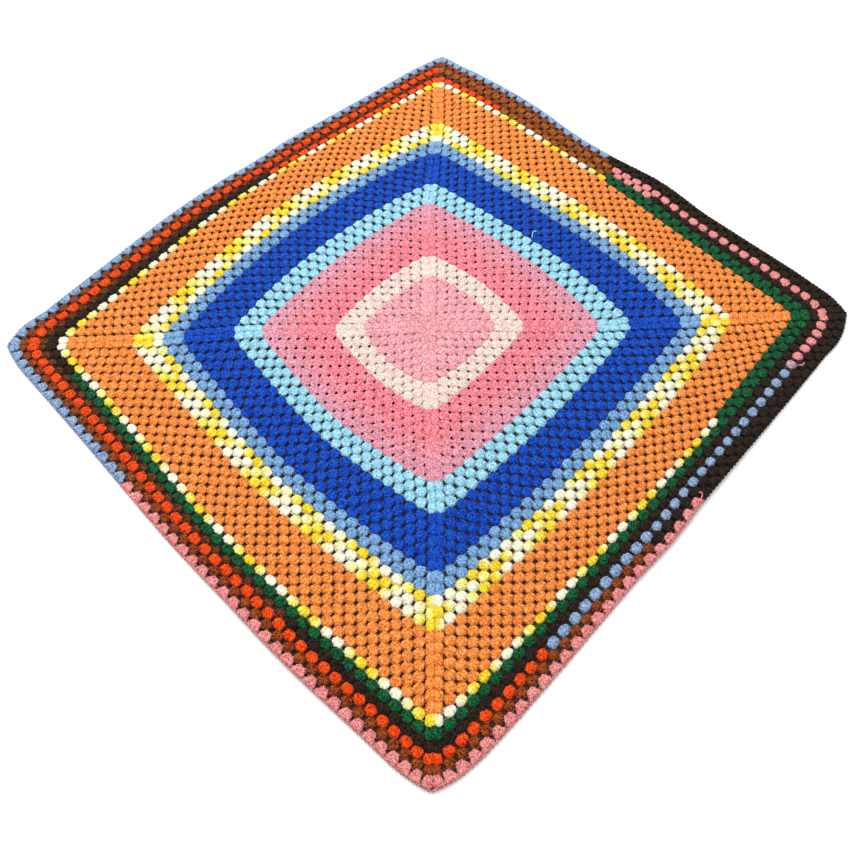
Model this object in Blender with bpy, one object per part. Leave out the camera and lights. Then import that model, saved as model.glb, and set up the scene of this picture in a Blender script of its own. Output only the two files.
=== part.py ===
"""Granny square blanket: one crocheted square of 45 rounds, lying flat. Metres, +Z up.

The blanket is worked in one piece, round after round from its middle, so it is one solid. Each round is a
raised rib between two grooves. Its shape is given by how far its corners and the middles of its sides lie
from the start of the crochet, because the sides bow outwards and the square isn't quite even.
"""

from typing import NamedTuple

import bmesh
import bpy
from mathutils import Vector

ROUNDS = 45  # rounds of clusters, counted from the middle
RIB_TOP = 0.0056  # height of the cloth along the middle of a round
GROOVE_TOP = 0.0036  # height of the cloth between two rounds
EDGE_TOP = 0.0046  # height of the last round's outer edge
EDGE_MIDDLE = 0.0022  # height at which the edge reaches furthest out
FLAT_ROUNDS = 30  # the underside is one flat face out to this round
UNDERSIDE_STEP = 3  # rounds between the sections of the underside, outside the flat face
PITCH_EASE = 0.06  # how much wider apart the clusters are at mid-side than on average
STRETCH = Vector((0.964, 1.038))  # the cloth is pulled a little longer one way than the other
MERGE = 1e-6

# Stations along a side, from its first corner (-1) to its last (+1), which is the next side's first.
STATIONS = (-1.0, -0.975, -0.93, -0.82, -0.6, -0.35, -0.15, 0.1, 0.35, 0.6, 0.82, 0.93, 0.975)

# The sides, anticlockwise from above, each with the direction that it faces and the direction that it runs in.
SIDES = {
    "right": (Vector((1, 0)), Vector((0, 1))),
    "top": (Vector((0, 1)), Vector((-1, 0))),
    "left": (Vector((-1, 0)), Vector((0, -1))),
    "bottom": (Vector((0, -1)), Vector((1, 0))),
}
FACING = tuple(facing for facing, _ in SIDES.values())


class Ring(NamedTuple):
    """The top edge of one round, in millimetres from the start of the crochet, before the stretch."""

    round: float
    right_corners: float
    top_corners: float
    left_corners: float
    bottom_corners: float
    right_middle: float
    top_middle: float
    left_middle: float
    bottom_middle: float
    bow: float  # power of the bow between the corners: 2 is a round one, 5 a flat one with round corners


# A row for each change of yarn, as far as the outer rounds, and the rounds between two rows are evenly spaced.
RINGS = (
    Ring(0, 0, 0, 0, 0, 0, 0, 0, 0, 2.2),
    Ring(8, 106, 100, 99, 99, 115, 116, 111, 114, 1.6),
    Ring(11, 152, 139, 141, 140, 162, 159, 158, 160, 1.6),
    Ring(19, 265, 242, 250, 239, 278, 267, 273, 270, 1.7),
    Ring(22, 312, 291, 292, 281, 329, 318, 329, 316, 1.9),
    Ring(27, 387, 364, 359, 354, 408, 395, 407, 394, 1.9),
    Ring(29, 416, 396, 384, 385, 440, 426, 439, 422, 1.8),
    Ring(32, 459, 442, 425, 429, 483, 474, 485, 465, 1.8),
    Ring(40, 563, 547, 526, 533, 574, 574, 575, 561, 3.4),
    Ring(45, 628, 611, 591, 603, 646, 634, 636, 622, 7.0),
)
ROUNDEST_BOWS = {"left": 1.9, "bottom": 1.5}  # these two sides keep a round bow out to their edges


class Wave(NamedTuple):
    """A shallow wave of the cloth, deepest at one round and one place on a side."""

    side: str
    at: float  # place along the side, from -1 to 1
    reach: float  # how far it runs along the side each way
    round: float
    rounds: float  # how many rounds it takes to die away
    outwards_mm: float  # how far it pushes the rounds out
    upwards_mm: float  # how far it lifts the cloth


WAVES = (
    Wave("top", -0.16, 0.22, 45, 7, 9.0, 2.0),
    Wave("top", 0.20, 0.20, 45, 7, -4.5, 0.0),
    Wave("top", 0.52, 0.28, 45, 7, 6.0, 0.0),
    Wave("top", -0.55, 0.25, 45, 7, -3.0, 1.5),
    Wave("top", -0.45, 0.50, 28, 14, 7.0, 0.0),
    Wave("top", 0.45, 0.55, 30, 16, -6.0, 0.0),
    Wave("top", -0.55, 0.60, 39, 5, -13.0, 0.0),
    Wave("left", -0.60, 0.50, 45, 12, -8.0, 0.0),
    Wave("left", 0.15, 0.60, 40, 16, 3.0, 0.0),
    Wave("left", 0.65, 0.40, 39, 5, -5.0, 0.0),
    Wave("left", -0.05, 0.60, 35, 5, 0.0, 5.0),
    Wave("bottom", -0.50, 0.50, 38, 20, -5.0, 0.0),
    Wave("bottom", 0.35, 0.40, 45, 5, 0.0, 2.0),
    Wave("right", 0.75, 0.55, 39, 5, -7.0, 0.0),
    Wave("right", 0.10, 0.50, 45, 5, 0.0, 2.5),
    Wave("right", 0.87, 0.13, 45, 7, 5.0, 0.0),
    Wave("left", 0.91, 0.09, 45, 7, 7.0, 0.0),
    Wave("left", 0.26, 0.33, 45, 7, 5.0, 0.0),
    Wave("left", -0.08, 0.14, 45, 7, -4.0, 0.0),
    Wave("top", -0.91, 0.09, 45, 7, 3.0, 0.0),
    Wave("top", 0.88, 0.10, 45, 7, -3.0, 0.0),
    Wave("bottom", 0.46, 0.30, 45, 7, 3.0, 0.0),
    Wave("right", -0.05, 0.16, 45, 7, 4.0, 0.0),
)


class Corner(NamedTuple):
    """How a corner of the blanket is drawn in at the last round, most at its tip."""

    first_mm: float  # how far out the side that ends here moves
    second_mm: float  # how far out the side that starts here moves
    clusters: float  # how far this reaches along both sides


# The corners at the ends of the right, top, left and bottom sides.
CORNERS = (Corner(-7, -2, 3.5), Corner(4, -9, 5.0), Corner(-4, -9, 3.5), Corner(-11, -11, 4.0))
CORNER_ROUNDS = 3.5  # rounds in from the edge where this has died away


class Yarn(NamedTuple):
    name: str
    last_round: int
    colour: tuple  # as seen on a screen, each from 0 to 1


YARNS = (
    Yarn("pale_pink_yarn", 8, (0.97, 0.66, 0.69)),
    Yarn("cream_yarn", 11, (0.96, 0.90, 0.84)),
    Yarn("rose_yarn", 19, (0.94, 0.55, 0.60)),
    Yarn("sky_blue_yarn", 22, (0.52, 0.80, 0.92)),
    Yarn("royal_blue_yarn", 27, (0.05, 0.27, 0.75)),
    Yarn("cornflower_yarn", 29, (0.38, 0.58, 0.86)),
    Yarn("variegated_yellow_yarn", 32, (0.98, 0.92, 0.60)),
    Yarn("orange_yarn", 39, (0.96, 0.56, 0.22)),
    Yarn("second_yellow_yarn", 40, (0.98, 0.90, 0.55)),
    Yarn("green_yarn", 41, (0.02, 0.36, 0.22)),
    Yarn("dark_brown_yarn", 42, (0.19, 0.12, 0.09)),
    Yarn("red_orange_yarn", 43, (0.94, 0.27, 0.05)),
    Yarn("brown_yarn", 44, (0.50, 0.27, 0.10)),
    Yarn("coral_pink_yarn", 45, (0.92, 0.52, 0.52)),
)


def clear_scene():
    for obj in list(bpy.data.objects):
        bpy.data.objects.remove(obj, do_unlink=True)


def between(value, low, high):
    return (value - low) / (high - low)


def ring_at(position):
    """The ring at this many rounds from the middle, read between the table's rows."""
    for low, high in zip(RINGS, RINGS[1:]):
        if position <= high.round:
            share = between(position, low.round, high.round)
            return Ring(*(a + (b - a) * share for a, b in zip(low, high)))
    return RINGS[-1]


def fade(distance):
    """1 at no distance, falling smoothly to 0 at a distance of 1."""
    return max(0.0, 1.0 - distance * distance) ** 2


def wave_at(side, along, position):
    """How far the waves push the cloth outwards and upwards here, in metres."""
    outwards = upwards = 0.0
    for wave in WAVES:
        if wave.side == side:
            strength = fade((along - wave.at) / wave.reach) * fade((position - wave.round) / wave.rounds)
            outwards += wave.outwards_mm * strength / 1000
            upwards += wave.upwards_mm * strength / 1000
    return outwards, upwards


def corner_move(position, side_number, along):
    """How far the nearest corner draws the cloth along with it here, in metres."""
    number = side_number if along > 0 else side_number - 1
    corner = CORNERS[number % len(CORNERS)]
    clusters_away = (1 - abs(along)) * position / 2
    drawn = max(0.0, 1 - clusters_away / corner.clusters) ** 2 * fade((position - ROUNDS) / CORNER_ROUNDS) / 1000
    first, second = (FACING[(number + step) % len(SIDES)] for step in (0, 1))
    return (first * corner.first_mm + second * corner.second_mm) * drawn


def cloth_point(position, side_number, along, height):
    """The point of the cloth on this ring, at this place along a side and at this height above the underside."""
    side = tuple(SIDES)[side_number % len(SIDES)]
    facing, running = SIDES[side]
    ring = ring_at(position)
    corners = [value / 1000 for value in ring[1:5]]
    middles = [value / 1000 for value in ring[5:9]]
    start, corner, end = (corners[(side_number + step) % len(SIDES)] for step in (-1, 0, 1))
    bow = min(ring.bow, ROUNDEST_BOWS.get(side, ring.bow))
    outwards, upwards = wave_at(side, along, position)
    eased = along + PITCH_EASE * (along - along**3)
    out = corner + (middles[side_number % len(SIDES)] - corner) * (1 - abs(along) ** bow) + outwards
    sideways = -start + (start + end) * (eased + 1) / 2
    flat = facing * out + running * sideways + corner_move(position, side_number, along)
    return Vector((flat.x * STRETCH.x, flat.y * STRETCH.y, height + upwards))


def section():
    """The cloth's section from the middle outwards over the top, round the edge and back under it, as (ring, height)."""
    stations = [(0.0, RIB_TOP)]
    for number in range(1, ROUNDS):
        stations += [(number - 0.5, RIB_TOP), (float(number), GROOVE_TOP)]
    stations += [
        (ROUNDS - 0.5, RIB_TOP),
        (ROUNDS - 0.12, EDGE_TOP),
        (float(ROUNDS), EDGE_MIDDLE),
        (ROUNDS - 0.15, 0.0),
    ]
    under = range(ROUNDS - UNDERSIDE_STEP, FLAT_ROUNDS - 1, -UNDERSIDE_STEP)
    return stations + [(float(number), 0.0) for number in under]


def yarn_number(position):
    return next(number for number, yarn in enumerate(YARNS) if position <= yarn.last_round)


def yarn_material(yarn):
    material = bpy.data.materials.new(yarn.name)
    material.use_nodes = True
    shader = material.node_tree.nodes["Principled BSDF"]
    linear = [part / 12.92 if part <= 0.04045 else ((part + 0.055) / 1.055) ** 2.4 for part in yarn.colour]
    shader.inputs["Base Color"].default_value = (*linear, 1.0)
    shader.inputs["Roughness"].default_value = 0.9
    shader.inputs["Metallic"].default_value = 0.0
    return material


def shape_cloth(bm):
    """Turns a plain grid, its rows along the section and its columns round the square, into the closed cloth."""
    stations = section()
    round_the_square = len(SIDES) * len(STATIONS)
    bmesh.ops.create_grid(bm, x_segments=round_the_square, y_segments=len(stations) - 1, size=1.0)
    bm.verts.ensure_lookup_table()
    columns = round_the_square + 1
    for vertex in bm.verts:
        row, column = divmod(vertex.index, columns)
        position, height = stations[row]
        side_number, station = divmod(column % round_the_square, len(STATIONS))
        vertex.co = cloth_point(position, side_number, STATIONS[station], height)
    for number, face in enumerate(bm.faces):
        row = number // round_the_square
        face.material_index = yarn_number((stations[row][0] + stations[row + 1][0]) / 2)
    bmesh.ops.remove_doubles(bm, verts=bm.verts, dist=MERGE)
    bmesh.ops.holes_fill(bm, edges=[edge for edge in bm.edges if edge.is_boundary], sides=0)
    bmesh.ops.recalc_face_normals(bm, faces=bm.faces)


def centre_on_box(bm):
    """Moves the cloth so that its box is centred over the origin and its underside lies at height 0."""
    corners = [[axis(vertex.co[i] for vertex in bm.verts) for i in range(3)] for axis in (min, max)]
    low, high = (Vector(corner) for corner in corners)
    bmesh.ops.translate(bm, verts=bm.verts, vec=-Vector(((low.x + high.x) / 2, (low.y + high.y) / 2, low.z)))


def make_blanket():
    mesh = bpy.data.meshes.new("blanket")
    bm = bmesh.new()
    shape_cloth(bm)
    centre_on_box(bm)
    bm.to_mesh(mesh)
    bm.free()
    for yarn in YARNS:
        mesh.materials.append(yarn_material(yarn))
    mesh.shade_smooth()
    collection = bpy.data.collections.new("granny_square_blanket")
    bpy.context.scene.collection.children.link(collection)
    collection.objects.link(bpy.data.objects.new("blanket", mesh))


clear_scene()
make_blanket()
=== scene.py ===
"""Granny square blanket: the visual model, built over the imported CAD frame. Metres, +Z up.

The blanket is one crocheted sheet of 45 rounds. Round k has k clusters on each of its four sides. A
cluster is three twisted posts that fan out of one gap of the round before, and a plaited chain runs
along the top of the round. `cloth` is the thin sheet that they make, with a real hole wherever the
crochet has one. The posts and chains are joined meshes, one or two for each band of colour.
"""

from typing import NamedTuple

import bpy
import numpy as np
from mathutils import Matrix, Vector


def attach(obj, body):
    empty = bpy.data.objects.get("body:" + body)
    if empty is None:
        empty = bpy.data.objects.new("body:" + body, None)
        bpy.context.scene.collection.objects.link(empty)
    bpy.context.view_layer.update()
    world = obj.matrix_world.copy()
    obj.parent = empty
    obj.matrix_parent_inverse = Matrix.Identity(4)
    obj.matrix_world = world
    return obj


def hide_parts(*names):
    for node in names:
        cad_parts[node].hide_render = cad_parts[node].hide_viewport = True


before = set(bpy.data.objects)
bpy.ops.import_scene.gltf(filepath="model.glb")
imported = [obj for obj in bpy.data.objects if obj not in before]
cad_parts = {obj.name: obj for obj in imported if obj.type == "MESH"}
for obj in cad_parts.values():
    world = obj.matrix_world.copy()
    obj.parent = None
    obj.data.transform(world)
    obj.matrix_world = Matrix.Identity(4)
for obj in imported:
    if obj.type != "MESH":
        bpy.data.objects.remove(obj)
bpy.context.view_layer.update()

ROUNDS = 45
SIDES = 4
MM = 0.001
TAU = 2 * np.pi
SHORTEST = 1e-12  # keeps a length off nothing before it divides
CHANCE = np.random.default_rng(45)

# ---------------------------------------------------------------------------------------------------
# The cloth's own map: from rounds and places along a side to metres. It has part.py's sizes at the
# edge. Inside it, the rounds and clusters lie up to 19 mm off part.py's even ones
# ---------------------------------------------------------------------------------------------------

RIGHT, TOP, LEFT, BOTTOM = range(SIDES)  # anticlockwise from above
# Which way each side faces, and which way is onwards along it.
FACING = np.array([(1, 0), (0, 1), (-1, 0), (0, -1)], float)
RUNNING = np.array([(0, 1), (-1, 0), (0, -1), (1, 0)], float)
PITCH_EASE = 0.06  # how much wider apart the clusters are at mid-side than on average
STRETCH = np.array([0.964, 1.038])  # the cloth is pulled a little longer one way than the other
# How far both sides draw in at the rounded corner of a round, where part.py's are sharp.
CORNER_PULL = 5.5 * MM
PULL_CLUSTERS = 1.5  # how far that reaches along them
# The places along a side, from -1 to 1, where part.py has a point.
STATIONS = (-1.0, -0.975, -0.93, -0.82, -0.6, -0.35, -0.15, 0.1, 0.35, 0.6, 0.82, 0.93, 0.975)


class Ring(NamedTuple):
    """The top edge of one round, in millimetres from the start of the crochet, before the stretch."""

    round: float
    right_corners: float
    top_corners: float
    left_corners: float
    bottom_corners: float
    right_middle: float
    top_middle: float
    left_middle: float
    bottom_middle: float
    bow: float  # the power of a side's curve: 2 is round, and a higher one is flat in its middle


RINGS = (
    Ring(0, 0, 0, 0, 0, 0, 0, 0, 0, 2.2),
    Ring(8, 106, 99, 97, 99, 117, 114, 107, 114, 1.6),
    Ring(11, 151, 136, 137, 139, 160, 155, 153, 156, 1.6),
    Ring(19, 264, 241, 246, 239, 277, 266, 269, 267, 1.7),
    Ring(22, 311, 290, 286, 281, 329, 316, 325, 312, 1.9),
    Ring(27, 386, 364, 352, 356, 408, 393, 403, 391, 1.9),
    Ring(29, 415, 395, 377, 387, 440, 424, 435, 419, 1.8),
    Ring(32, 457, 441, 418, 430, 483, 471, 480, 461, 1.8),
    Ring(40, 562, 547, 524, 533, 574, 572, 570, 558, 3.4),
    Ring(45, 628, 611, 591, 603, 646, 634, 636, 622, 7.0),
)
# The most that each side's bow may be: the left and bottom sides stay round.
BOW_LIMITS = np.array([9.0, 9.0, 1.9, 1.5])


class Slide(NamedTuple):
    """How far a round's clusters sit onwards along their side from even places.

    It is in millimetres, before the stretch. At a place along the side from -1 to 1 it is the side's
    own figure and that much more for each unit of the place, and it dies away at both corners.
    """

    round: float
    right: float
    top: float
    left: float
    bottom: float
    right_more: float
    top_more: float
    left_more: float
    bottom_more: float


SLIDES = (
    Slide(0, 0, 0, 0, 0, 0, 0, 0, 0),
    Slide(8, 3, -3, 6, 9, -4, -1, -3, -5),
    Slide(19, 0, 1, 6, 14, -12, -11, -14, -22),
    Slide(30, -8, 9, 2, 10, -11, -7, -15, -10),
    Slide(45, -7, 11, -9, 5, -8, -9, -6, -2),
)


class Wave(NamedTuple):
    """A shallow wave of the cloth, deepest at one round and one place on a side."""

    side: int
    at: float  # the place along the side, from -1 to 1
    reach: float  # how far from it, both ways, the wave dies away
    round: float
    rounds: float  # and how many rounds in and out from this one
    outwards_mm: float
    upwards_mm: float
    onwards_mm: float = 0.0  # along the side


WAVES = (
    Wave(TOP, -0.16, 0.22, 45, 7, 9.0, 2.0),
    Wave(TOP, 0.20, 0.20, 45, 7, -4.5, 0.0),
    Wave(TOP, 0.52, 0.28, 45, 7, 6.0, 0.0),
    Wave(TOP, -0.55, 0.25, 45, 7, -3.0, 1.5),
    Wave(TOP, -0.45, 0.50, 28, 14, 7.0, 0.0),
    Wave(TOP, 0.45, 0.55, 30, 16, -6.0, 0.0),
    Wave(TOP, -0.55, 0.60, 39, 5, -13.0, 0.0),
    Wave(LEFT, -0.60, 0.50, 45, 12, -8.0, 0.0),
    Wave(LEFT, 0.15, 0.60, 40, 16, 3.0, 0.0),
    Wave(LEFT, 0.65, 0.40, 39, 5, -5.0, 0.0),
    Wave(LEFT, -0.05, 0.60, 35, 5, 0.0, 5.0),
    Wave(BOTTOM, -0.50, 0.50, 38, 20, -5.0, 0.0),
    Wave(BOTTOM, 0.35, 0.40, 45, 5, 0.0, 2.0),
    Wave(RIGHT, 0.75, 0.55, 39, 5, -7.0, 0.0),
    Wave(RIGHT, 0.10, 0.50, 45, 5, 0.0, 2.5),
    Wave(RIGHT, 0.87, 0.13, 45, 7, 5.0, 0.0),
    Wave(LEFT, 0.91, 0.09, 45, 7, 7.0, 0.0),
    Wave(LEFT, 0.26, 0.33, 45, 7, 5.0, 0.0),
    Wave(LEFT, -0.08, 0.14, 45, 7, -4.0, 0.0),
    Wave(TOP, -0.91, 0.09, 45, 7, 3.0, 0.0),
    Wave(TOP, 0.88, 0.10, 45, 7, -3.0, 0.0),
    Wave(BOTTOM, 0.46, 0.30, 45, 7, 3.0, 0.0),
    Wave(RIGHT, -0.05, 0.16, 45, 7, 4.0, 0.0),
    Wave(RIGHT, 0.70, 0.32, 45, 11, 0.0, 0.0, 10.5),
)


class Corner(NamedTuple):
    """How a corner of the blanket is drawn in at the last round, most at its tip."""

    first_mm: float  # how far out the side that ends here moves
    second_mm: float  # how far out the side that starts here moves
    clusters: float  # how far this reaches along both sides


# The corners at the ends of the right, top, left and bottom sides.
CORNERS = (Corner(-7, -2, 3.5), Corner(4, -9, 5.0), Corner(-4, -9, 3.5), Corner(-11, -11, 4.0))
CORNER_ROUNDS = 3.5  # rounds in from the edge where this has died away


def fade(distance):
    """1 at no distance, falling smoothly to 0 at a distance of 1."""
    return np.clip(1 - distance * distance, 0, None) ** 2


def at_rounds(table, position):
    """A table's columns after the first, its rounds, at these rounds from the middle."""
    rounds, *columns = zip(*table)
    return np.stack([np.interp(position, rounds, column) for column in columns])


def of_side(columns, side):
    """The one of four columns, in the order of the sides, that belongs to each of these sides."""
    return np.take_along_axis(columns, (side % SIDES)[None], 0)[0]


def points_from_start(position, side, along, height):
    """Points of the cloth, measured from the start of the crochet.

    They are at these rounds from the middle, sides, places along them and heights (arrays).
    """
    position, side, along, height = np.broadcast_arrays(position, side, along, height)
    rings = at_rounds(RINGS, position)
    corners = rings[0:4] * MM
    start, corner, end = (of_side(corners, side + step) for step in (-1, 0, 1))
    middle = of_side(rings[4:8] * MM, side)
    bow = np.minimum(rings[8], BOW_LIMITS[side])
    outwards, upwards, onwards = np.zeros((3, *position.shape))
    for wave in WAVES:
        strength = fade((along - wave.at) / wave.reach) * fade((position - wave.round) / wave.rounds)
        strength = np.where(side == wave.side, strength, 0.0)
        outwards += wave.outwards_mm * MM * strength
        upwards += wave.upwards_mm * MM * strength
        onwards += wave.onwards_mm * MM * strength
    eased = along + PITCH_EASE * (along - along**3)
    out = corner + (middle - corner) * (1 - np.abs(along) ** bow) + outwards
    sideways = -start + (start + end) * (eased + 1) / 2
    slides = at_rounds(SLIDES, position)
    usual = of_side(slides[0:4], side)
    more = of_side(slides[4:8], side)
    sideways = sideways + (usual + more * along) * (1 - along * along) * MM + onwards
    flat = FACING[side] * out[..., None] + RUNNING[side] * sideways[..., None]
    # The corners: they move along both of their sides, so that the two sides still meet.
    first = np.where(along > 0, side, (side - 1) % SIDES)
    clusters_away = (1 - np.abs(along)) * position / 2
    first_mm, second_mm, reach = (np.array(column)[first] for column in zip(*CORNERS))
    at_edge = fade((position - ROUNDS) / CORNER_ROUNDS)
    drawn = np.clip(1 - clusters_away / reach, 0, 1) ** 2 * at_edge * MM
    pulled = CORNER_PULL * np.clip(1 - clusters_away / PULL_CLUSTERS, 0, 1) ** 2 * (1 - at_edge)
    flat += FACING[first] * (first_mm * drawn - pulled)[..., None]
    flat += FACING[(first + 1) % SIDES] * (second_mm * drawn - pulled)[..., None]
    return np.concatenate([flat * STRETCH, (height + upwards)[..., None]], axis=-1)


def points_round(position):
    """Points all round the blanket from its start, this many rounds out, at part.py's stations."""
    sides, places = np.meshgrid(np.arange(SIDES), STATIONS, indexing="ij")
    return points_from_start(position, sides, places, 0.0).reshape(-1, 3)


def box_shift():
    """The move that centres part.py's box, because the crochet doesn't start in the box's middle."""
    outline = points_round(float(ROUNDS))
    shift = -(outline.min(0) + outline.max(0)) / 2
    shift[2] = 0.0
    return shift


SHIFT = box_shift()


def cloth_points(position, side, along, height):
    """The same points of the cloth in the CAD frame."""
    return points_from_start(position, side, along, height) + SHIFT


# ---------------------------------------------------------------------------------------------------
# The yarns and the chart of the rounds
# ---------------------------------------------------------------------------------------------------


def linear(colour):
    """A colour as seen on a screen (sRGB), turned into light."""
    colour = np.asarray(colour, float)
    return np.where(colour <= 0.04045, colour / 12.92, ((colour + 0.055) / 1.055) ** 2.4)


# As seen on a screen, each part from 0 to 1.
YARN_COLOURS = {
    "salmon": (0.95, 0.72, 0.74),
    "pale_pink": (0.96, 0.74, 0.77),
    "cream": (0.96, 0.89, 0.86),
    "coral_rose": (0.96, 0.63, 0.67),
    "rose": (0.94, 0.66, 0.71),
    "dusty_rose": (0.92, 0.69, 0.75),
    "sky": (0.72, 0.90, 0.96),
    "royal": (0.05, 0.38, 0.80),
    "cornflower": (0.59, 0.75, 0.89),
    "golden": (1.00, 0.90, 0.25),
    "lemon": (1.00, 0.97, 0.48),
    "pale_yellow": (1.00, 0.97, 0.70),
    "soft_white": (1.00, 0.99, 0.92),
    "orange": (0.99, 0.68, 0.36),
    "green": (0.01, 0.44, 0.25),
    "dark_brown": (0.21, 0.13, 0.06),
    "red_orange": (0.95, 0.38, 0.02),
    "brown": (0.71, 0.44, 0.13),
    "dim_brown": (0.50, 0.28, 0.12),
    "rust_brown": (0.66, 0.34, 0.11),
    "edge_blue": (0.66, 0.75, 0.86),
    "coral_pink": (0.95, 0.67, 0.66),
    "blue_and_pink": (0.84, 0.72, 0.77),
}


class Band(NamedTuple):
    """Rounds in one yarn, up to and with this one, and the piece and slot of the record they are in."""

    last_round: int
    piece: str
    slot: str
    yarn: str


BANDS = (
    Band(3, "pale_pink_stitches", "pale_pink_yarn", "salmon"),
    Band(8, "pale_pink_stitches", "pale_pink_yarn", "pale_pink"),
    Band(11, "cream_stitches", "cream_yarn", "cream"),
    Band(15, "rose_stitches", "rose_yarn", "coral_rose"),
    Band(17, "rose_stitches", "rose_yarn", "rose"),
    Band(19, "rose_stitches", "rose_yarn", "dusty_rose"),
    Band(22, "sky_blue_stitches", "sky_blue_yarn", "sky"),
    Band(27, "royal_blue_stitches", "royal_blue_yarn", "royal"),
    Band(29, "cornflower_stitches", "cornflower_yarn", "cornflower"),
    Band(32, "variegated_stitches", "variegated_yellow_yarn", "variegated"),
    Band(36, "inner_orange_stitches", "orange_yarn", "orange"),
    Band(39, "outer_orange_stitches", "orange_yarn", "orange"),
    Band(42, "inner_edge_stitches", "edge_yarns", "charted"),
    Band(45, "outer_edge_stitches", "edge_yarns", "charted"),
)

# The outer rounds change yarn on the way round. Each has its runs of clusters in order,
# anticlockwise from the corner where the right side starts.
OUTER_ROUNDS = {
    40: (("variegated", 28), ("green", 32), ("variegated", 100)),
    41: (("green", 62), ("brown", 12), ("red_orange", 27), ("dark_brown", 26), ("green", 37)),
    42: (
        ("dark_brown", 59),
        ("coral_pink", 4),
        ("rust_brown", 18),
        ("dim_brown", 74),
        ("dark_brown", 13),
    ),
    43: (
        ("red_orange", 10),
        ("edge_blue", 26),
        ("blue_and_pink", 1),
        ("coral_pink", 28),
        ("brown", 21),
        ("red_orange", 86),
    ),
    44: (("rust_brown", 20), ("dark_brown", 47), ("rust_brown", 109)),
    45: (("coral_pink", 25), ("dark_brown", 44), ("edge_blue", 82), ("coral_pink", 29)),
}

# The variegated yarn's dye, once through its repeat.
DYE = (
    (0.00, "golden"),
    (0.11, "golden"),
    (0.21, "pale_yellow"),
    (0.32, "soft_white"),
    (0.58, "soft_white"),
    (0.74, "pale_yellow"),
    (0.84, "lemon"),
    (0.93, "golden"),
    (1.00, "golden"),
)


class DyedRound(NamedTuple):
    """Where the variegated yarn's golden stretches fall in a round, by cluster in running order."""

    round: int
    start: int  # the cluster at the seam, on the top side, where the round was begun
    golden: float  # the middle of a golden stretch
    repeat: float  # from one golden stretch to the next


DYED_ROUNDS = (
    DyedRound(30, 47, 51.3, 5.135),
    DyedRound(31, 47, 50.95, 5.212),
    DyedRound(32, 50, 53.1, 5.28),
    DyedRound(40, 60, 65.2, 5.19),
)

# ---------------------------------------------------------------------------------------------------
# Clusters
# ---------------------------------------------------------------------------------------------------

# By how much of a round's height the cluster beside a corner keeps further from it than half a
# cluster's width.
CORNER_ROOM = 0.24


class Clusters(NamedTuple):
    """The clusters of one round, in running order."""

    round: int
    side: np.ndarray
    number: np.ndarray  # along its side, from 0


def clusters_of(number_of_round):
    side, number = np.divmod(np.arange(SIDES * number_of_round), number_of_round)
    return Clusters(number_of_round, side, number)


def crowded(along, number_of_round):
    """Places along a side, a little nearer to its middle, so that the corners have more room."""
    return along * (1 - CORNER_ROOM / number_of_round)


def middle_along(number, number_of_round, rounds_up):
    """Where the middles of a side's clusters are, these rounds up from the top edge of their round."""
    before = max(number_of_round - 1, 1)
    top = crowded(-1 + (2 * number + 1) / number_of_round, number_of_round)
    foot = crowded(-1 + 2 * number / before, before) if number_of_round > 1 else 0.0
    return top + (top - foot) * rounds_up


def chart_of(number_of_round):
    """The yarn's name for each cluster of an outer round, in running order."""
    return [name for name, count in OUTER_ROUNDS[number_of_round] for _ in range(count)]


def dye_colours(clusters, steps):
    """The variegated yarn's colours at these steps across each cluster, as (clusters, steps, 3)."""
    dyed = next(row for row in DYED_ROUNDS if row.round == clusters.round)
    number = np.arange(len(clusters.number))
    since_start = np.where(number < dyed.start, number + len(number), number) - dyed.golden
    share = ((since_start[:, None] + np.asarray(steps)) / dyed.repeat) % 1.0
    marks = [mark for mark, _ in DYE]
    colours = linear([YARN_COLOURS[name] for _, name in DYE])
    return np.stack([np.interp(share, marks, part) for part in colours.T], axis=-1)


def yarn_colours(clusters, yarn, steps):
    """Colours of a round's yarn at steps across each cluster, -0.5 to 0.5, as (clusters, steps, 3)."""
    count = len(clusters.number)
    names = np.array(chart_of(clusters.round) if yarn == "charted" else [yarn] * count)
    colours = np.zeros((count, len(steps), 3))
    for name in np.unique(names):
        here = names == name
        if name == "variegated":
            colours[here] = dye_colours(clusters, steps)[here]
        else:
            colours[here] = linear(YARN_COLOURS[name])
    return colours


# ---------------------------------------------------------------------------------------------------
# Meshes from arrays
# ---------------------------------------------------------------------------------------------------


class Shape(NamedTuple):
    """Part of a mesh. A colour belongs to a point, and a place to a face's corner."""

    points: np.ndarray
    colours: np.ndarray
    faces: tuple  # arrays of point numbers, one row a face, with three or four corners
    places: tuple  # arrays of (share of the way round the stitch, millimetres along it) to match


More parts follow.
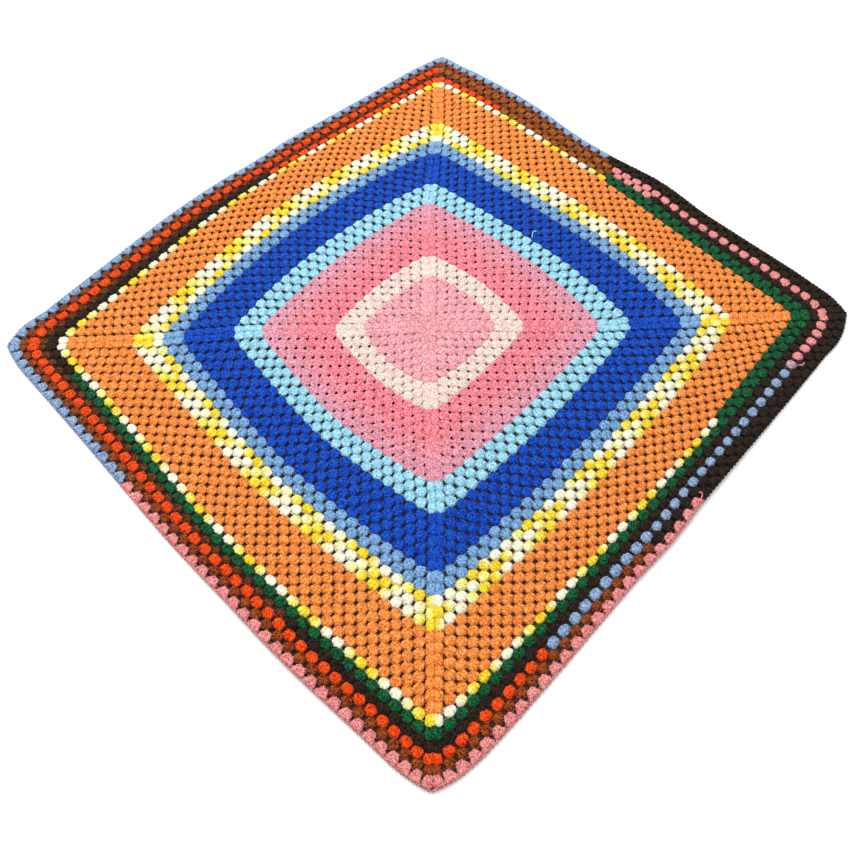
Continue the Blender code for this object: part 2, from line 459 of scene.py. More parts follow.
def joined_mesh(name, shapes):
    """One object of all these shapes, smooth, with its yarn colours in the attribute `yarn`."""
    points = np.concatenate([shape.points for shape in shapes])
    colours = np.concatenate([shape.colours for shape in shapes])
    corners, sizes, places = [], [], []
    first = 0
    for shape in shapes:
        for faces, face_places in zip(shape.faces, shape.places):
            corners.append((faces + first).ravel())
            sizes.append(np.full(len(faces), faces.shape[1]))
            places.append(face_places.reshape(-1, 2))
        first += len(shape.points)
    corners, sizes, places = (np.concatenate(rows) for rows in (corners, sizes, places))
    starts = np.concatenate([[0], np.cumsum(sizes)[:-1]])
    mesh = bpy.data.meshes.new(name)
    mesh.vertices.add(len(points))
    mesh.vertices.foreach_set("co", points.astype(np.float32).ravel())
    mesh.loops.add(len(corners))
    mesh.loops.foreach_set("vertex_index", corners.astype(np.int32))
    mesh.polygons.add(len(sizes))
    mesh.polygons.foreach_set("loop_start", starts.astype(np.int32))
    mesh.polygons.foreach_set("use_smooth", np.ones(len(sizes), bool))
    mesh.update(calc_edges=True)
    with_alpha = np.concatenate([colours, np.ones((len(colours), 1))], axis=1)
    layer = mesh.color_attributes.new("yarn", "FLOAT_COLOR", "POINT")
    layer.data.foreach_set("color", with_alpha.astype(np.float32).ravel())
    layer = mesh.uv_layers.new(name="round_and_along")
    layer.data.foreach_set("uv", places.astype(np.float32).ravel())
    mesh.validate()
    piece = bpy.data.objects.new(name, mesh)
    bpy.context.scene.collection.objects.link(piece)
    return piece


def unit(vectors):
    lengths = np.linalg.norm(vectors, axis=-1, keepdims=True)
    return vectors / np.maximum(lengths, SHORTEST)


def section_axes(centres, closed):
    """For lines of centres (lines, stations, 3), the level and the upright way across each station."""
    if closed:
        onwards = np.roll(centres, -1, axis=1) - np.roll(centres, 1, axis=1)
    else:
        onwards = np.gradient(centres, axis=1)
    onwards = unit(onwards)
    level = unit(np.cross(onwards, (0.0, 0.0, 1.0)))
    return level, np.cross(level, onwards)


def lengths_along(centres):
    steps = np.linalg.norm(np.diff(centres, axis=1), axis=-1)
    return np.concatenate([np.zeros((len(centres), 1)), np.cumsum(steps, axis=1)], axis=1)


def rings_round(centres, widths, depths, turns, sides, lobes=1, lobe_depth=0.0, closed=False):
    """Rings of points round lines of centres, as (lines, stations, sides, 3)."""
    level, upright = section_axes(centres, closed)
    angles = TAU * np.arange(sides) / sides + turns[..., None]
    swell = 1 + lobe_depth * np.cos(lobes * (angles - turns[..., None]))
    across = (widths[..., None] * np.cos(angles) * swell)[..., None] * level[:, :, None]
    up = (depths[..., None] * np.sin(angles) * swell)[..., None] * upright[:, :, None]
    return centres[:, :, None] + across + up


def corner_places(corners):
    """The places of faces' corners, for each corner a share of the way round and a length (arrays)."""
    return np.stack([np.stack(np.broadcast_arrays(*corner), -1) for corner in corners], axis=-2)


def band_of_faces(low, high, sides):
    """Faces between each ring of points from number `low` on and the one from number `high` on."""
    here = np.arange(sides)
    onwards = (here + 1) % sides
    low, high = low[:, None], high[:, None]
    return np.stack([low + here, low + onwards, high + onwards, high + here], -1).reshape(-1, 4)


def band_places(low, high, sides):
    """Their places, where the rings are at the lengths `low` and `high`."""
    here = np.arange(sides) / sides
    onwards = (np.arange(sides) + 1) / sides
    low, high = low[..., None], high[..., None]
    return corner_places([(here, low), (onwards, low), (onwards, high), (here, high)])


def fan_of_faces(tip, ring, sides, at_start):
    """Faces from a tip to a ring of points, at the start or at the end of a line."""
    here = np.arange(sides)
    onwards = (here + 1) % sides
    rim = (onwards, here) if at_start else (here, onwards)
    return np.stack([np.full(sides, tip), ring + rim[0], ring + rim[1]], axis=1)


def fan_places(tip, ring, sides, at_start):
    """Their places, where the tips and rings are at these lengths."""
    here = np.arange(sides) / sides
    onwards = (np.arange(sides) + 1) / sides
    rim = (onwards, here) if at_start else (here, onwards)
    tip, ring = tip[:, None], ring[:, None]
    return corner_places([((here + onwards) / 2, tip), (rim[0], ring), (rim[1], ring)])


def tubes(rings, tips, lengths):
    """Points, faces and places of closed tubes.

    They have these rings (lines, rings, sides, 3), tips (lines, 2, 3) and lengths at the stations.
    """
    lines, count, sides = rings.shape[:3]
    points = np.concatenate([tips[:, :1], rings.reshape(lines, -1, 3), tips[:, 1:]], axis=1)
    each = points.shape[1]
    starts = 1 + sides * np.arange(count)
    fans = [fan_of_faces(0, starts[0], sides, True), fan_of_faces(each - 1, starts[-1], sides, False)]
    kinds = (np.concatenate(fans), band_of_faces(starts[:-1], starts[1:], sides))
    first = each * np.arange(lines)[:, None, None]
    faces = tuple((first + kind).reshape(-1, kind.shape[1]) for kind in kinds)
    start_places = fan_places(lengths[:, 0], lengths[:, 1], sides, True)
    end_places = fan_places(lengths[:, -1], lengths[:, -2], sides, False)
    places = (
        np.concatenate([start_places, end_places], axis=1),
        band_places(lengths[:, 1:-2], lengths[:, 2:-1], sides),
    )
    return points, faces, places


UNDERSHADE = 0.88  # painted shade: how much of its colour the yarn shows on the underside of a stitch
LEVEL_SHARE, LEVEL_SHOWN = 0.5, 0.6  # how that changes with height, and what it is at mid-height


def painted_shade_round(rings, centres, depths):
    """Painted shade at the points of rings: how much of the yarn's colour shows, less underneath than on
    top.
    """
    level = (rings[..., 2] - centres[..., None, 2]) / depths[..., None]
    return UNDERSHADE + (1 - UNDERSHADE) * np.clip(level * LEVEL_SHARE + LEVEL_SHOWN, 0, 1)


# ---------------------------------------------------------------------------------------------------
# Posts
# ---------------------------------------------------------------------------------------------------


class PostStation(NamedTuple):
    """A place up a post, from its foot in the gap of the round before to its top under the chain."""

    rounds_up: float  # from the top edge of its round
    spread: float  # of the outer posts from the middle one, in clusters' widths
    corner_spread: float  # the same in the cluster at a corner
    corner_away: float  # how far from the corner that cluster's middle is, in clusters' widths
    half_width_mm: float
    half_depth_mm: float
    height_mm: float
    shade: float  # painted shade: how much of its colour the yarn shows here, darker down in the gaps


POST = (
    PostStation(-1.29, 0.04, 0.03, 0.20, 0.0, 0.0, 1.5, 0.80),
    PostStation(-1.08, 0.12, 0.10, 0.28, 3.7, 1.8, 2.7, 0.93),
    PostStation(-0.80, 0.20, 0.17, 0.34, 5.0, 2.1, 3.4, 1.00),
    PostStation(-0.46, 0.22, 0.19, 0.36, 5.4, 2.2, 3.7, 1.00),
    PostStation(-0.12, 0.21, 0.18, 0.36, 4.9, 2.0, 3.5, 1.00),
    PostStation(0.13, 0.15, 0.13, 0.36, 0.0, 0.0, 2.6, 0.85),
)
# The same in the flat rounds.
FLAT_POST = (
    PostStation(-1.30, 0.05, 0.04, 0.20, 0.0, 0.0, 2.6, 0.95),
    PostStation(-1.10, 0.13, 0.10, 0.28, 4.2, 1.5, 3.2, 0.98),
    PostStation(-0.80, 0.20, 0.17, 0.34, 5.2, 1.6, 3.6, 1.00),
    PostStation(-0.46, 0.22, 0.19, 0.36, 5.6, 1.6, 3.8, 1.00),
    PostStation(-0.10, 0.21, 0.18, 0.36, 5.1, 1.5, 3.6, 1.00),
    PostStation(0.16, 0.16, 0.14, 0.36, 0.0, 0.0, 3.2, 0.95),
)
# Nothing is worked into the last round, so its clusters stay spread at their tops.
LAST_POST = (
    PostStation(-1.20, 0.05, 0.04, 0.14, 0.0, 0.0, 1.6, 0.80),
    PostStation(-1.06, 0.12, 0.09, 0.24, 3.8, 1.8, 2.7, 0.92),
    PostStation(-0.78, 0.165, 0.15, 0.35, 4.5, 2.1, 3.3, 1.00),
    PostStation(-0.45, 0.22, 0.20, 0.42, 5.0, 2.2, 3.6, 1.00),
    PostStation(-0.18, 0.29, 0.23, 0.46, 5.6, 2.0, 3.5, 1.00),
    PostStation(-0.04, 0.33, 0.24, 0.46, 0.0, 0.0, 2.9, 0.95),
)
POSTS = np.array([-1, 0, 1])  # the three of a cluster, by their side of its middle
POST_MIDDLE = -0.55  # a thick yarn's posts reach further from here both ways, a thin one's less far
# How far out, in rounds for each cluster's width, the posts of a corner's clusters reach that are
# further from it.
CORNER_SKEW = 0.5
CROWN = 0.12  # how much shorter, in rounds, the outer posts of a cluster are at their tops
POST_SIDES = 6
POST_TURN = 0.75  # radians that the strands turn from one station to the next
POST_LOBES = 3
LOBE_DEPTH = 0.06
FIRST_POSITION = 0.14  # no stitch comes nearer to the middle than this, in rounds
# How far chance moves clusters, and then each of their posts, along the side, in clusters' widths.
# It makes them bigger or smaller by such shares too.
CLUSTER_CHANCE, POST_CHANCE = 0.018, 0.010
LIFT_TIMES = 1.5  # it moves clusters outwards, in rounds, by this many times as much
CORNER_LEAN_TIMES = 1.5  # and away from a corner, in clusters' widths, by this many times

FLAT_ROUNDS = 19  # up to here the crochet is flat, and the gaps in it are shallow
# Up to here it is tight too, and its plump clusters hide most of the gaps.
TIGHT_ROUNDS, TIGHT_PLUMPNESS = 11, 1.06
# How thick a yarn of the crowded rounds is, where it isn't 1. A thick yarn crowds the clusters of
# the rounds before and after it.
THICKNESS = {
    "red_orange": 0.94,
    "brown": 0.96,
    "rust_brown": 0.84,
    "dim_brown": 0.76,
    "dark_brown": 1.04,
    "green": 1.04,
    "edge_blue": 0.97,
}
FIRST_CROWDED_ROUND = 41
THINNEST, PLUMPEST = 0.70, 1.06


def thickness_at(number_of_round, around):
    """How thick the yarn of a round is at these shares of the way round it."""
    if not FIRST_CROWDED_ROUND <= number_of_round <= ROUNDS:
        return np.ones(len(around))
    chart = np.array([THICKNESS.get(name, 1.0) for name in chart_of(number_of_round)])
    return chart[(around * len(chart)).astype(int)]


def plumpness(clusters):
    """How big each cluster is, where 1 is usual: its own yarn and its neighbours' decide it."""
    count = len(clusters.number)
    if clusters.round <= TIGHT_ROUNDS:
        return np.full(count, TIGHT_PLUMPNESS)
    if clusters.round < FIRST_CROWDED_ROUND:
        return np.ones(count)
    around = (np.arange(count) + 0.5) / count
    own, before, after = (thickness_at(clusters.round + step, around) for step in (0, -1, 1))
    return np.clip(1 + own - (before + after) / 2, THINNEST, PLUMPEST)


def post_stations(number_of_round):
    if number_of_round == ROUNDS:
        return LAST_POST
    return FLAT_POST if number_of_round <= FLAT_ROUNDS else POST


def post_lines(clusters):
    """The posts of a round: their centres (lines, stations, 3), half widths and half depths."""
    stations = post_stations(clusters.round)
    columns = [np.array(column) for column in zip(*stations)]
    rounds_up, spread, corner_spread, corner_away, half_width, half_depth, height, _ = columns
    # From here on, each is an array for (clusters, posts, stations).
    count = len(clusters.number)
    plump = plumpness(clusters)[:, None, None]
    side = clusters.side[:, None, None]
    number = clusters.number[:, None, None]
    post = POSTS[:, None]
    lean, lift, size = CHANCE.normal(0, CLUSTER_CHANCE, (3, count))[..., None, None]
    each_lean, each_size = CHANCE.normal(0, POST_CHANCE, (2, count, len(POSTS)))[..., None]
    first = number == 0
    last = number == clusters.round - 1
    # A corner's two clusters point out along the diagonal, so their posts further from it reach
    # further out.
    skew = (first.astype(int) - last.astype(int)) * post * corner_spread * CORNER_SKEW
    crown = CROWN * np.clip(1 + rounds_up, 0, 1) * np.abs(post) * (clusters.round != ROUNDS)
    up = POST_MIDDLE + (rounds_up - POST_MIDDLE) * plump + lift * LIFT_TIMES + skew - crown
    position = np.maximum(clusters.round + up, FIRST_POSITION)
    side_length = np.maximum(position, 1.0)  # in clusters' widths
    spreads = np.where(first | last, corner_spread, spread) * post
    spreads = spreads * (plump * (1 + size)) + (lean + each_lean)
    from_corner = 1 - 2 * (corner_away + lean * CORNER_LEAN_TIMES) / side_length
    middle = middle_along(number, clusters.round, up)
    middle = np.where(last, from_corner, middle)
    middle = np.where(first, -from_corner, middle)
    middle = np.where(first & last, 0.0, middle)
    along = middle + 2 * spreads / side_length
    centres = cloth_points(position, side, along, height * MM * plump)
    scale = ((1 + size + each_size) * plump).reshape(-1, 1)
    return centres.reshape(-1, len(stations), 3), half_width * MM * scale, half_depth * MM * scale


def posts_shape(clusters, yarn):
    centres, widths, depths = post_lines(clusters)
    lines, stations = widths.shape
    turns = CHANCE.uniform(0, TAU, (lines, 1)) + POST_TURN * np.arange(stations)
    rings = rings_round(centres, widths, depths, turns, POST_SIDES, POST_LOBES, LOBE_DEPTH)[:, 1:-1]
    points, faces, places = tubes(rings, centres[:, [0, -1]], lengths_along(centres) / MM)
    # Painted shade: the yarn is darker down in the gaps and underneath.
    shade = np.array([station.shade for station in post_stations(clusters.round)])
    shown = shade[1:-1, None] * painted_shade_round(rings, centres[:, 1:-1], depths[:, 1:-1])
    tip_shades = np.broadcast_to(shade[[0, -1]], (lines, 2))
    shades = [tip_shades[:, :1], shown.reshape(lines, -1), tip_shades[:, 1:]]
    colour = yarn_colours(clusters, yarn, POSTS / len(POSTS)).reshape(-1, 1, 3)
    colours = colour * np.concatenate(shades, axis=1)[..., None]
    return Shape(points.reshape(-1, 3), colours.reshape(-1, 3), faces, places)


# ---------------------------------------------------------------------------------------------------
# Chains
# ---------------------------------------------------------------------------------------------------

CHAIN_STEPS = 6  # stations of the chain in one cluster: two for each of its three loops
CHAIN_SIDES = 5
CHAIN_HEIGHT = 3.0  # millimetres, at the middle of a cluster
CHAIN_DIP = 2.4  # millimetres, where the next round's clusters are worked over it
FIRST_DIM_CHAIN = 40  # from here to the last round but one, the chain has painted shade where it dips
DIM_CHAIN_SHADE = 0.30  # how much of its colour it then shows there, under that painted shade
CHAIN_THICK, CHAIN_THIN = 1.9, 1.35  # half widths in millimetres, at a loop and between two
CHAIN_DEPTH = 0.9  # of its width
CHAIN_OUT = -0.05  # rounds from the top edge
CHAIN_WIGGLE = 0.035
CHAIN_CHANCE, CHAIN_SIZE_CHANCE = 0.012, 0.04  # how much chance moves it, in rounds, and swells it
CHAIN_TURN = 0.9  # radians from one station to the next
CHAIN_STEP_LENGTH = 4.4  # millimetres
# The last round's chain is the blanket's edge, with nothing worked over it.
LAST_CHAIN_DIP = 0.3
LAST_CHAIN_WIDTH = 1.5


def chain_shape(clusters, yarn):
    count = len(clusters.number)
    steps = (np.arange(CHAIN_STEPS) + 0.5) / CHAIN_STEPS - 0.5
    dipped = np.sin(np.pi * steps) ** 2
    beat = np.where(np.arange(CHAIN_STEPS) % 2 == 0, 1.0, -1.0)
    last = clusters.round == ROUNDS
    dip = LAST_CHAIN_DIP if last else CHAIN_DIP
    along = (-1 + (2 * clusters.number + 1) / clusters.round)[:, None] + 2 * steps / clusters.round
    moved = CHANCE.normal(0, CHAIN_CHANCE, along.shape)
    position = clusters.round + CHAIN_OUT + CHAIN_WIGGLE * beat + moved
    height = (CHAIN_HEIGHT - dip * dipped) * MM
    centres = cloth_points(position, clusters.side[:, None], along, height).reshape(1, -1, 3)
    stations = centres.shape[1]
    thick = np.where(beat > 0, CHAIN_THICK, CHAIN_THIN) * MM
    widths = np.tile(thick, count) * (1 + CHANCE.normal(0, CHAIN_SIZE_CHANCE, (1, stations)))
    wide = widths * LAST_CHAIN_WIDTH if last else widths
    turns = CHAIN_TURN * np.arange(stations)[None]
    rings = rings_round(centres, wide, widths * CHAIN_DEPTH, turns, CHAIN_SIDES, closed=True)
    # Painted shade: the chain is darker where it dips under the next round's clusters.
    darkest = DIM_CHAIN_SHADE if FIRST_DIM_CHAIN <= clusters.round < ROUNDS else 1.0
    shade = 1 - (1 - darkest) * np.tile(dipped, count)
    shown = painted_shade_round(rings, centres, widths)[0] * shade[:, None]
    colours = yarn_colours(clusters, yarn, steps).reshape(-1, 1, 3) * shown[..., None]
    starts = CHAIN_SIDES * np.arange(stations)
    lengths = CHAIN_STEP_LENGTH * np.arange(stations + 1)
    faces = band_of_faces(starts, np.roll(starts, -1), CHAIN_SIDES)
    places = band_places(lengths[:-1], lengths[1:], CHAIN_SIDES)
    return Shape(rings.reshape(-1, 3), colours.reshape(-1, 3), (faces,), (places,))


# ---------------------------------------------------------------------------------------------------
# The sheet
# ---------------------------------------------------------------------------------------------------


class Sheet(NamedTuple):
    """How the sheet lies in a round."""

    height_mm: float
    shade: float  # painted shade: how much of its yarn's colour it shows down between the clusters
    rows: tuple  # rounds up from the top edge. The holes lie between the middle two


USUAL_SHEET = Sheet(3.0, 0.60, (-1.04, -0.82, -0.30, 0.0))
FLAT_SHEET = Sheet(4.3, 0.92, (-1.04, -0.78, -0.34, 0.0))
LAST_SHEET = Sheet(3.0, 0.28, (-1.04, -0.86, -0.54, -0.03))
# Its painted shade instead where the yarns are thick.
CROWDED_SHADES = {40: 0.35, 41: 0.30, 42: 0.22, 43: 0.18, 44: 0.42}
SHEET_TUCK = 0.3  # millimetres by which its lowest row lies under the round before
HOLE_HALF_WIDTH = 0.15  # in clusters' widths
SMALL_HOLE_HALF_WIDTH = 0.11
SMALL_HOLE_ROUNDS = (*range(1, 20), 42, 43, 44)


def sheet_shape(clusters, yarn):
    """One round of the sheet: a strip with a hole between each two clusters of a side."""
    count = clusters.round
    sheet = FLAT_SHEET if count <= FLAT_ROUNDS else USUAL_SHEET
    sheet = LAST_SHEET if count == ROUNDS else sheet
    rows = np.array(sheet.rows)
    # The bounds between clusters, at the top edge of the round and of the one before.
    before = max(count - 1, 1)
    inner = np.arange(1, count)
    above, below = np.full((2, count + 1), -1.0)
    above[-1] = below[-1] = 1.0
    above[1:-1] = crowded(-1 + 2 * inner / count, count)
    below[1:-1] = crowded(-1 + (2 * inner - 1) / before, before)
    share = np.clip(rows + 1, 0, 1)[:, None]
    bounds = below * (1 - share) + above * share  # (rows, bounds)
    low = bounds[:, clusters.number]
    high = bounds[:, clusters.number + 1]
    hole = SMALL_HOLE_HALF_WIDTH if count in SMALL_HOLE_ROUNDS else HOLE_HALF_WIDTH
    columns = np.array([0.0, hole, 0.5, 1 - hole])
    along = low[..., None] + (high - low)[..., None] * columns  # (rows, clusters, columns)
    position = np.maximum(count + rows, FIRST_POSITION)[:, None, None]
    heights = np.where(rows < -1, sheet.height_mm - SHEET_TUCK, sheet.height_mm)[:, None, None]
    points = cloth_points(position, clusters.side[None, :, None], along, heights * MM)
    # Painted shade: the sheet is darker down between the clusters.
    shade = CROWDED_SHADES.get(count, sheet.shade)
    colours = np.broadcast_to(yarn_colours(clusters, yarn, columns - 0.5) * shade, points.shape)
    # The faces, without those of the holes. There is no hole at a corner.
    across = points.shape[1] * points.shape[2]
    row, column = np.meshgrid(np.arange(len(rows) - 1), np.arange(across), indexing="ij")
    step = column % len(columns)
    number = clusters.number[column // len(columns)]
    at_start = (step == 0) & (number > 0)
    at_end = (step == len(columns) - 1) & (number < count - 1)
    kept = ~((row == 1) & (at_start | at_end))
    row, column = row[kept], column[kept]
    onwards = (column + 1) % across
    lower, upper = row * across, (row + 1) * across
    faces = np.stack([upper + column, upper + onwards, lower + onwards, lower + column], axis=-1)
    places = np.zeros((len(faces), 4, 2))
    return Shape(points.reshape(-1, 3), colours.reshape(-1, 3), (faces,), (places,))


# ---------------------------------------------------------------------------------------------------
# Loose ends of yarn, where the crocheter changed colour
# ---------------------------------------------------------------------------------------------------


class Tail(NamedTuple):
    yarn: str
    places: tuple  # (rounds from the middle, side, along, height in millimetres)


TAILS = (
    Tail(
        "sky",
        (
            (22.3, TOP, 0.035, 3.0),
            (22.7, TOP, 0.05, 6.0),
            (23.1, TOP, 0.06, 7.0),
            (23.5, TOP, 0.045, 6.6),
        ),
    ),
    Tail(
        "blue_and_pink",
        (
            (43.0, RIGHT, 0.70, 3.0),
            (43.2, RIGHT, 0.708, 6.5),
            (43.5, RIGHT, 0.70, 7.0),
            (43.5, RIGHT, 0.718, 5.5),
        ),
    ),
    Tail(
        "coral_pink",
        (
            (44.7, RIGHT, 0.10, 3.0),
            (44.5, RIGHT, 0.115, 6.2),
            (44.2, RIGHT, 0.125, 6.6),
            (43.9, RIGHT, 0.12, 6.0),
        ),
    ),
)
TAIL_SIDES = 7
TAIL_STEPS = 14
TAIL_RADIUS = 1.25 * MM
TAIL_TURN = 0.6  # radians from one step to the next
TAIL_SMOOTHINGS = 4


def tail_shape(tail):
    rounds, sides, along, height = (np.array(column) for column in zip(*tail.places))
    marks = cloth_points(rounds, sides, along, height * MM)
    share = np.linspace(0, len(marks) - 1, TAIL_STEPS)
    knots = np.arange(len(marks))
    centres = np.stack([np.interp(share, knots, marks[:, axis]) for axis in range(3)], axis=-1)
    for _ in range(TAIL_SMOOTHINGS):
        centres[1:-1] = (centres[:-2] + 2 * centres[1:-1] + centres[2:]) / 4
    centres = centres[None]
    radius = np.full((1, TAIL_STEPS), TAIL_RADIUS)
    turns = TAIL_TURN * np.arange(TAIL_STEPS)[None]
    rings = rings_round(centres, radius, radius, turns, TAIL_SIDES)
    points, faces, places = tubes(rings, centres[:, [0, -1]], np.zeros((1, TAIL_STEPS + 2)))
    points = points.reshape(-1, 3)
    colours = np.broadcast_to(linear(YARN_COLOURS[tail.yarn]), points.shape)
    places = tuple(np.zeros(part.shape) for part in places)  # its plies don't show
    return Shape(points, colours, faces, places)


# ---------------------------------------------------------------------------------------------------
# Materials
# ---------------------------------------------------------------------------------------------------

PLIES = 9.0  # stripes of the yarn's plies round a stitch
PLY_LENGTH = 2.6  # millimetres along a stitch from one stripe to the next
PLY_RELIEF = 0.2  # beside that of the curls
CURLS_SCALE = 330.0
MOTTLE_SCALE = 45.0
# Painted shade between the loose fibres: there the yarn's colour is multiplied by itself times the
# first of these, less the second.
FIBRE_SHADE_SHARE, FIBRE_SHADE_LESS = 0.85, 0.06
FIBRE_LIGHT = 1.35  # painted light: what it is multiplied by on them
FIBRE_GLINT = 0.014  # painted glint: what they add to it, which shows on a dark yarn
# A value from the first to the second of these becomes one from the third to the fourth.
CURLY = (0.01, 0.10, 1.0, 0.0)
PATCHY = (0.3, 0.7, 0.94, 1.06)
PLIED = (-1.0, 0.2, 0.90, 1.0)


def node(tree, kind, inputs, **settings):
    """A new node. Each of its inputs is another node's output to link, or a value."""
    made = tree.nodes.new(kind)
    for name, value in settings.items():
        setattr(made, name, value)
    for name, value in inputs.items():
        if isinstance(value, bpy.types.NodeSocket):
            tree.links.new(value, made.inputs[name])
        else:
            made.inputs[name].default_value = value
    return made


def math_node(tree, operation, *values):
    return node(tree, "ShaderNodeMath", dict(enumerate(values)), operation=operation).outputs[0]


def vector_node(tree, operation, *values):
    made = node(tree, "ShaderNodeVectorMath", dict(enumerate(values)), operation=operation)
    return made.outputs[0]


def spread(tree, source, spreading):
    names = ("From Min", "From Max", "To Min", "To Max")
    inputs = {"Value": source, **dict(zip(names, spreading))}
    return node(tree, "ShaderNodeMapRange", inputs).outputs[0]


def yarn_material(name):
    """Plied yarn, matt and hairy: the mesh's own yarn colour, mottled, with dark lines of painted shade
    between plies.
    """
    material = bpy.data.materials.new(name)
    material.use_nodes = True
    tree = material.node_tree
    shader = tree.nodes["Principled BSDF"]
    shader.inputs["Roughness"].default_value = 0.92
    shader.inputs["Specular IOR Level"].default_value = 0.06
    shader.inputs["Sheen Weight"].default_value = 0.04
    shader.inputs["Sheen Roughness"].default_value = 0.6
    colour = node(tree, "ShaderNodeAttribute", {}, attribute_name="yarn").outputs["Color"]
    place = node(tree, "ShaderNodeUVMap", {}, uv_map="round_and_along").outputs["UV"]
    split = node(tree, "ShaderNodeSeparateXYZ", {0: place})
    # Plies: stripes that wind round the stitch.
    around = math_node(tree, "MULTIPLY", split.outputs["X"], PLIES * TAU)
    winding = math_node(tree, "MULTIPLY_ADD", split.outputs["Y"], TAU / PLY_LENGTH, around)
    plies = math_node(tree, "SINE", winding)
    where = node(tree, "ShaderNodeTexCoord", {}).outputs["Object"]
    curls_look = {"Scale": CURLS_SCALE, "Detail": 1.0, "Roughness": 0.6, "Distortion": 0.8}
    curls = node(tree, "ShaderNodeTexNoise", {"Vector": where, **curls_look}).outputs["Fac"]
    mottle_look = {"Scale": MOTTLE_SCALE, "Detail": 2.0}
    mottle = node(tree, "ShaderNodeTexNoise", {"Vector": where, **mottle_look}).outputs["Fac"]
    # Curly lines of loose fibres, where the noise is close to its mean.
    from_mean = math_node(tree, "ABSOLUTE", math_node(tree, "SUBTRACT", curls, 0.5))
    curly = spread(tree, from_mean, CURLY)
    # Painted shade between them, darker and deeper in colour, and painted light and glint on them.
    fibre_shade = vector_node(tree, "MULTIPLY_ADD", colour, (FIBRE_SHADE_SHARE,) * 3, (-FIBRE_SHADE_LESS,) * 3)
    light = {"Fac": curly, "Color1": fibre_shade, "Color2": (FIBRE_LIGHT, FIBRE_LIGHT, FIBRE_LIGHT, 1.0)}
    lit = node(tree, "ShaderNodeMixRGB", light).outputs["Color"]
    glint = math_node(tree, "MULTIPLY", curly, FIBRE_GLINT)
    fibres = vector_node(tree, "MULTIPLY_ADD", colour, lit, glint)
    # Random patches of tone, and painted shade in the lines between the plies.
    patchy = spread(tree, mottle, PATCHY)
    plied = spread(tree, plies, PLIED)
    shades = {0: fibres, "Scale": math_node(tree, "MULTIPLY", patchy, plied)}
    shaded = node(tree, "ShaderNodeVectorMath", shades, operation="SCALE").outputs[0]
    tree.links.new(shaded, shader.inputs["Base Color"])
    # Relief: the plies and the curls.
    relief = math_node(tree, "MULTIPLY_ADD", plies, PLY_RELIEF, curls)
    bumps = {"Strength": 0.8, "Distance": 1.6 * MM, "Height": relief}
    bump = node(tree, "ShaderNodeBump", bumps).outputs["Normal"]
    tree.links.new(bump, shader.inputs["Normal"])
    return material


# ---------------------------------------------------------------------------------------------------
# The blanket
# ---------------------------------------------------------------------------------------------------


def band_of(number_of_round):
    return next(band for band in BANDS if number_of_round <= band.last_round)


def make_cloth():
    strips = []
    for number_of_round in range(1, ROUNDS + 1):
        strips.append(sheet_shape(clusters_of(number_of_round), band_of(number_of_round).yarn))
    piece = joined_mesh("cloth", strips)
    piece.data.materials.append(yarn_material("crochet_yarn"))
    return piece


def make_stitches():
    """The posts and chains of all rounds, as one piece for each name in the bands, and the tails."""
    shapes, slots = {}, {}
    for number_of_round in range(1, ROUNDS + 1):
        band = band_of(number_of_round)
        clusters = clusters_of(number_of_round)
        made = shapes.setdefault(band.piece, [])
        made.append(posts_shape(clusters, band.yarn))
        made.append(chain_shape(clusters, band.yarn))
        slots[band.piece] = band.slot
    shapes["yarn_tails"] = [tail_shape(tail) for tail in TAILS]
    slots["yarn_tails"] = "edge_yarns"
    materials = {slot: yarn_material(slot) for slot in sorted(set(slots.values()))}
    pieces = []
    for name, parts in shapes.items():
        piece = joined_mesh(name, parts)
        piece.data.materials.append(materials[slots[name]])
        pieces.append(piece)
    return pieces


cloth = make_cloth()
stitches = make_stitches()
for piece in [cloth, *stitches]:
    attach(piece, "root")
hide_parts("blanket")

# ---------------------------------------------------------------------------------------------------
# Floor, light and camera
# ---------------------------------------------------------------------------------------------------

FLOOR_SIZE = 16.0
FLOOR_COLOUR = (0.88, 0.88, 0.88)
# Painted shade: the floor's colour under the blanket, which shows through the holes.
PAINTED_SHADE_UNDER_BLANKET = (0.070, 0.040, 0.034)
COVERED_ROUNDS = 44.93  # how far out the floor has that colour


def floor_material(name, colour):
    material = bpy.data.materials.new(name)
    material.use_nodes = True
    shader = material.node_tree.nodes["Principled BSDF"]
    shader.inputs["Base Color"].default_value = (*colour, 1)
    shader.inputs["Roughness"].default_value = 0.95
    shader.inputs["Specular IOR Level"].default_value = 0.0
    return material


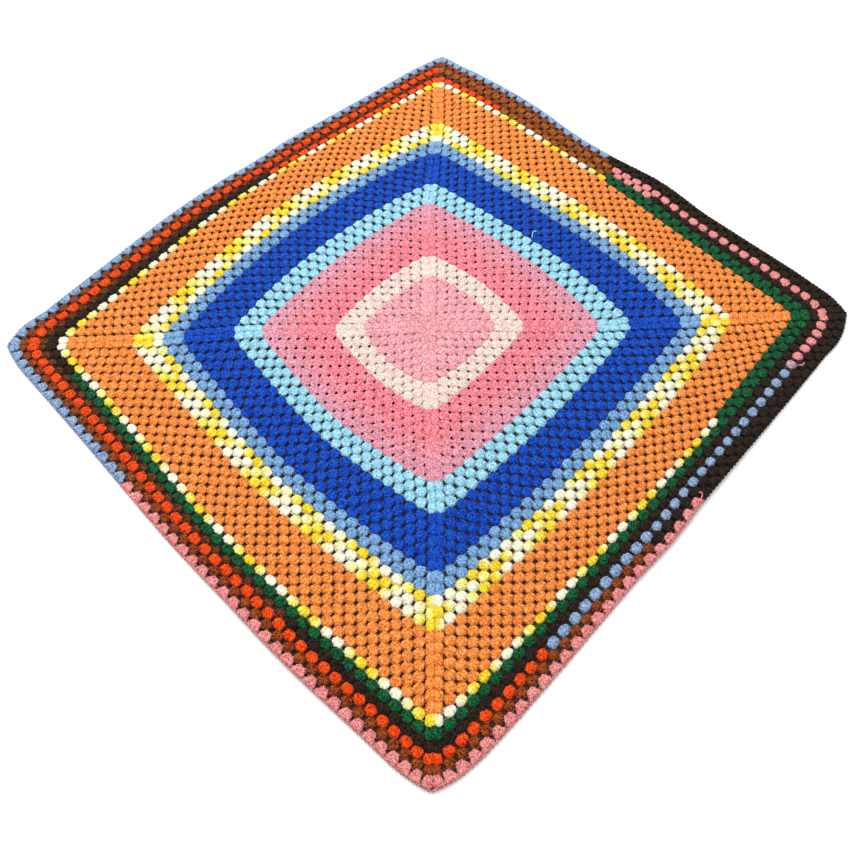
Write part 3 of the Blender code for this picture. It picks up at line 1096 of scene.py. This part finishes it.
def make_floor():
    """A plain pale floor. Under the blanket it is dark with painted shade, as in the photograph, where
    holes show it.
    """
    covered = points_round(COVERED_ROUNDS) + SHIFT
    covered[:, 2] = 0.0
    count = len(covered)
    directions = covered[:, :2] / np.abs(covered[:, :2]).max(1, keepdims=True)
    edge = np.concatenate([directions * FLOOR_SIZE / 2, np.zeros((count, 1))], axis=1)
    around = [(i, i + count, (i + 1) % count + count, (i + 1) % count) for i in range(count)]
    mesh = bpy.data.meshes.new("floor")
    mesh.from_pydata(np.concatenate([covered, edge]).tolist(), [], [*around, tuple(range(count))])
    mesh.materials.append(floor_material("pale_floor", FLOOR_COLOUR))
    mesh.materials.append(floor_material("floor_painted_shade_under_blanket", PAINTED_SHADE_UNDER_BLANKET))
    mesh.polygons[count].material_index = 1
    floor = bpy.data.objects.new("floor", mesh)
    bpy.context.scene.collection.objects.link(floor)


def turned_towards(place, aim):
    """The turn of a lamp or camera at this place that looks at the aim."""
    return (Vector(aim) - Vector(place)).to_track_quat("-Z", "Y")


LAMP_PLACE = (-2.2, 0.9, 3.0)
LAMP_AIM = (0.0, 0.0, 0.0)
LAMP_SIZE = 2.0
LAMP_WATTS = 95.0
SKY_STRENGTH = 0.86


def make_light():
    world = bpy.data.worlds.new("studio")
    bpy.context.scene.world = world
    world.use_nodes = True
    background = world.node_tree.nodes["Background"]
    background.inputs["Color"].default_value = (1.0, 1.0, 1.0, 1.0)
    background.inputs["Strength"].default_value = SKY_STRENGTH
    light = bpy.data.lights.new("key", "AREA")
    light.shape = "DISK"
    light.size = LAMP_SIZE
    light.energy = LAMP_WATTS
    lamp = bpy.data.objects.new("key", light)
    lamp.location = LAMP_PLACE
    lamp.rotation_euler = turned_towards(LAMP_PLACE, LAMP_AIM).to_euler()
    bpy.context.scene.collection.objects.link(lamp)
    bpy.context.scene.view_settings.view_transform = "Standard"
    bpy.context.scene.view_settings.look = "None"


CAMERA_PLACE = (0.6180, -0.6920, 1.2701)
CAMERA_AIM = (0.1539, -0.1792, 0.0)
CAMERA_ROLL = 1.80  # degrees
PHOTO_PIXELS = 853
FOCAL_PIXELS = 763.2
SENSOR_MM = 36.0


def make_camera():
    camera = bpy.data.cameras.new("camera")
    camera.sensor_width = SENSOR_MM
    camera.lens = FOCAL_PIXELS / PHOTO_PIXELS * SENSOR_MM
    holder = bpy.data.objects.new("camera", camera)
    aim = turned_towards(CAMERA_PLACE, CAMERA_AIM).to_matrix().to_4x4()
    roll = Matrix.Rotation(np.radians(CAMERA_ROLL), 4, "Z")
    holder.matrix_world = Matrix.Translation(CAMERA_PLACE) @ aim @ roll
    bpy.context.scene.collection.objects.link(holder)
    bpy.context.scene.camera = holder


make_floor()
make_light()
make_camera()
